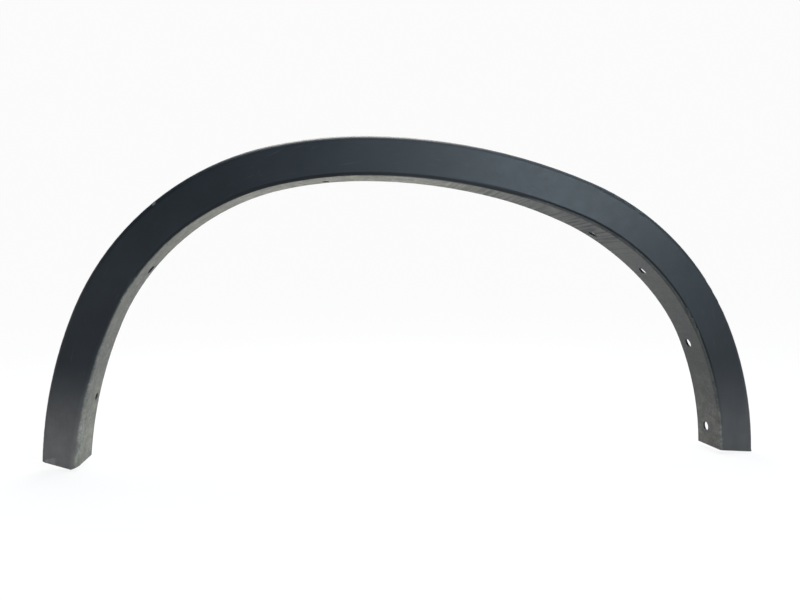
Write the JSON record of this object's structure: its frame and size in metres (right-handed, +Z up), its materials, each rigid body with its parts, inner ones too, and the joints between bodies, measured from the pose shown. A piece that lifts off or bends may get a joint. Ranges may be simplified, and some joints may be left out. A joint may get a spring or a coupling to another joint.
{
  "type": "wheel arch trim",
  "caption": "Dark moulded plastic trim that curves over a car's wheel opening, with a slanted outer face and a rear lip with holes for clips or screws.",
  "frame": {"origin": "on the rear rim of the return flange at the crown of the arch, where the trim meets the body panel", "axes": "+X along the car, to the right in the picture; +Y towards the car's body; +Z up"},
  "size_m": [0.8816, 0.0723, 0.3963],
  "materials": {
    "trim_plastic": "fine grained, dusty on the lip"
  },
  "bodies": {
    "root": {"arch_trim": "trim_plastic"}
  },
  "joints": []
}
